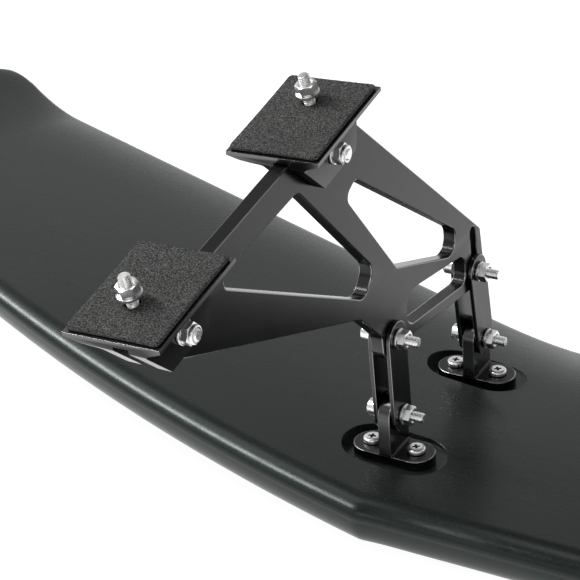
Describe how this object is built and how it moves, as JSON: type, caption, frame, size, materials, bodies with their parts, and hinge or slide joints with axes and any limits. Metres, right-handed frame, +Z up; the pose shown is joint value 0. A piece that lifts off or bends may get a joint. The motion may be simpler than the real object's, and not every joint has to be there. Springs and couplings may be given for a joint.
{
  "type": "racing rear wing",
  "caption": "Rear wing lying upside down: a swept black hollow blade with windowed aluminium stands on short pivoted links, and foam padded feet for a car's trunk.",
  "frame": {"origin": "middle of the underside of the object's bounding box, on the plane the blade lies on", "axes": "+X along the span, +Y from the leading edge to the trailing edge, +Z up; the wing lies upside down, so +Z points to the ground when it is fitted to a car"},
  "size_m": [1.44, 0.5546, 0.2839],
  "materials": {
    "blade": "black moulded plastic with a fine satin grain",
    "anodised": "satin black anodised",
    "zinc": "bright zinc plated steel",
    "plain_steel": "plain tapped steel, hidden inside the blade",
    "foam": "black closed cell foam"
  },
  "bodies": {
    "blade": {"blade_lower_skin": "blade", "blade_upper_skin": "blade", "front_t_bracket_left": "anodised", "front_backing_plate_left": "plain_steel", "front_screw_outer_left": "zinc", "front_screw_inner_left": "zinc", "rear_t_bracket_left": "anodised", "rear_backing_plate_left": "plain_steel", "rear_screw_outer_left": "zinc", "rear_screw_inner_left": "zinc", "front_t_bracket_right": "anodised", "front_backing_plate_right": "plain_steel", "front_screw_outer_right": "zinc", "front_screw_inner_right": "zinc", "rear_t_bracket_right": "anodised", "rear_backing_plate_right": "plain_steel", "rear_screw_outer_right": "zinc", "rear_screw_inner_right": "zinc"},
    "front_links_left": {"front_link_inner_left": "anodised", "front_link_outer_left": "anodised", "front_lower_pivot_bolt_left": "zinc"},
    "upper_pivots_left": {"front_upper_pivot_bolt_left": "zinc", "rear_upper_pivot_bolt_left": "zinc"},
    "stand_left": {"stand_plate_left": "anodised"},
    "rear_links_left": {"rear_link_inner_left": "anodised", "rear_link_outer_left": "anodised", "rear_lower_pivot_bolt_left": "zinc"},
    "front_foot_left": {"front_foot_bracket_left": "anodised", "front_foot_bolt_left": "zinc", "front_foam_pad_left": "foam", "front_trunk_stud_left": "zinc"},
    "rear_foot_left": {"rear_foot_bracket_left": "anodised", "rear_foot_bolt_left": "zinc", "rear_foam_pad_left": "foam", "rear_trunk_stud_left": "zinc"},
    "front_links_right": {"front_link_inner_right": "anodised", "front_link_outer_right": "anodised", "front_lower_pivot_bolt_right": "zinc"},
    "upper_pivots_right": {"front_upper_pivot_bolt_right": "zinc", "rear_upper_pivot_bolt_right": "zinc"},
    "stand_right": {"stand_plate_right": "anodised"},
    "rear_links_right": {"rear_link_inner_right": "anodised", "rear_link_outer_right": "anodised", "rear_lower_pivot_bolt_right": "zinc"},
    "front_foot_right": {"front_foot_bracket_right": "anodised", "front_foot_bolt_right": "zinc", "front_foam_pad_right": "foam", "front_trunk_stud_right": "zinc"},
    "rear_foot_right": {"rear_foot_bracket_right": "anodised", "rear_foot_bolt_right": "zinc", "rear_foam_pad_right": "foam", "rear_trunk_stud_right": "zinc"}
  },
  "joints": [
    {"name": "front_link_swing_left", "type": "hinge", "parent": "blade", "child": "front_links_left", "pos_m": [-0.22, -0.03281, 0.058], "axis": [1, 0, 0], "range_deg": [-12, 12]},
    {"name": "front_pivot_turn_left", "type": "hinge", "parent": "front_links_left", "child": "upper_pivots_left", "pos_m": [-0.22, -0.03551, 0.1079], "axis": [1, 0, 0], "range_deg": [-12.7, 12.7]},
    {"name": "stand_tilt_left", "type": "hinge", "parent": "upper_pivots_left", "child": "stand_left", "pos_m": [-0.22, -0.03551, 0.1079], "axis": [1, 0, 0], "range_deg": [-13.9, 0]},
    {"name": "rear_link_swing_left", "type": "hinge", "parent": "blade", "child": "rear_links_left", "pos_m": [-0.22, 0.07539, 0.0516], "axis": [1, 0, 0], "range_deg": [-12.3, 12.3]},
    {"name": "front_foot_tilt_left", "type": "hinge", "parent": "stand_left", "child": "front_foot_left", "pos_m": [-0.22, -0.24521, 0.2197], "axis": [1, 0, 0], "range_deg": [-3, 12]},
    {"name": "rear_foot_tilt_left", "type": "hinge", "parent": "stand_left", "child": "rear_foot_left", "pos_m": [-0.22, -0.10281, 0.2484], "axis": [1, 0, 0], "range_deg": [-5.5, 1]},
    {"name": "front_link_swing_right", "type": "hinge", "parent": "blade", "child": "front_links_right", "pos_m": [0.22, -0.03281, 0.058], "axis": [1, 0, 0], "range_deg": [-12, 12]},
    {"name": "front_pivot_turn_right", "type": "hinge", "parent": "front_links_right", "child": "upper_pivots_right", "pos_m": [0.22, -0.03551, 0.1079], "axis": [1, 0, 0], "range_deg": [-12.7, 12.7]},
    {"name": "stand_tilt_right", "type": "hinge", "parent": "upper_pivots_right", "child": "stand_right", "pos_m": [0.22, -0.03551, 0.1079], "axis": [1, 0, 0], "range_deg": [-13.9, 0]},
    {"name": "rear_link_swing_right", "type": "hinge", "parent": "blade", "child": "rear_links_right", "pos_m": [0.22, 0.07539, 0.0516], "axis": [1, 0, 0], "range_deg": [-12.3, 12.3]},
    {"name": "front_foot_tilt_right", "type": "hinge", "parent": "stand_right", "child": "front_foot_right", "pos_m": [0.22, -0.24521, 0.2197], "axis": [1, 0, 0], "range_deg": [-3, 12]},
    {"name": "rear_foot_tilt_right", "type": "hinge", "parent": "stand_right", "child": "rear_foot_right", "pos_m": [0.22, -0.10281, 0.2484], "axis": [1, 0, 0], "range_deg": [-5.5, 1]}
  ],
  "couplings": [
    {"joint": "front_pivot_turn_left", "follows": "front_link_swing_left", "ratio": -1.056},
    {"joint": "rear_link_swing_left", "follows": "front_link_swing_left", "ratio": 1.02},
    {"joint": "front_pivot_turn_right", "follows": "front_link_swing_right", "ratio": -1.056},
    {"joint": "rear_link_swing_right", "follows": "front_link_swing_right", "ratio": 1.02}
  ]
}
